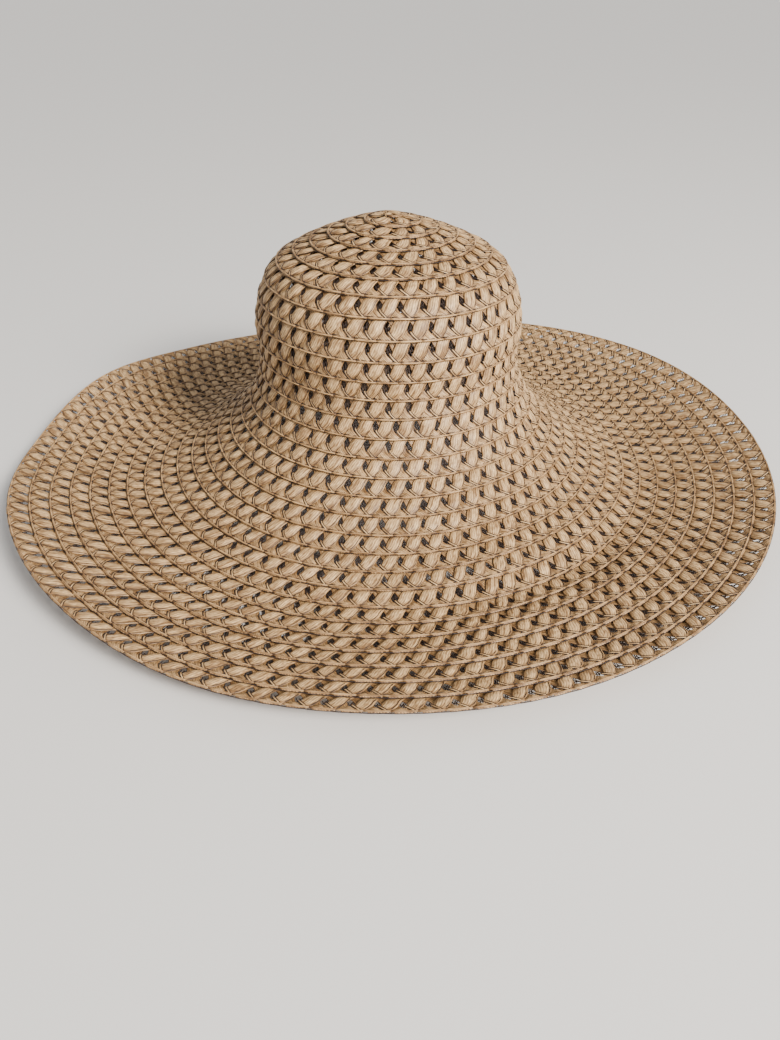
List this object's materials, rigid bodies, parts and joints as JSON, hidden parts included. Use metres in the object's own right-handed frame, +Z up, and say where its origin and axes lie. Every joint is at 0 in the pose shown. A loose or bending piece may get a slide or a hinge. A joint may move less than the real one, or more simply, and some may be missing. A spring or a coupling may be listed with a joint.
{
  "type": "straw sun hat",
  "caption": "Wide-brimmed sun hat sewn in a spiral from one openwork straw braid, with a round crown, a soft wavy brim and an inner sweatband.",
  "frame": {"origin": "on the crown's axis, in the plane that the lowest places of the brim rest on", "axes": "+Z up along the crown's axis, -Y towards the front of the hat, +X towards the right of a viewer who looks at its front"},
  "size_m": [0.5692, 0.5644, 0.1912],
  "materials": {
    "straw_braid": "satin",
    "seam_thread": "matte",
    "grosgrain": "satin",
    "sewing_thread": "matte",
    "label_cloth": "satin"
  },
  "bodies": {
    "root": {"braid_turn_01_tip": "straw_braid", "braid_turn_02": "straw_braid", "braid_turn_03": "straw_braid", "braid_turn_04": "straw_braid", "braid_turn_05": "straw_braid", "braid_turn_06": "straw_braid", "braid_turn_07": "straw_braid", "braid_turn_08": "straw_braid", "braid_turn_09": "straw_braid", "braid_turn_10": "straw_braid", "braid_turn_11": "straw_braid", "braid_turn_12": "straw_braid", "braid_turn_13": "straw_braid", "braid_turn_14": "straw_braid", "braid_turn_15": "straw_braid", "braid_turn_16": "straw_braid", "braid_turn_17": "straw_braid", "braid_turn_18": "straw_braid", "braid_turn_19": "straw_braid", "braid_turn_20": "straw_braid", "braid_turn_21": "straw_braid", "braid_turn_22": "straw_braid", "braid_turn_23": "straw_braid", "braid_turn_24": "straw_braid", "braid_turn_25": "straw_braid", "braid_turn_26": "straw_braid", "braid_turn_27": "straw_braid", "braid_turn_28": "straw_braid", "braid_turn_29": "straw_braid", "brim_seam_thread": "seam_thread", "care_label": "label_cloth", "crown_seam_thread": "seam_thread", "sweatband": "grosgrain", "sweatband_stitching": "sewing_thread"}
  },
  "joints": []
}
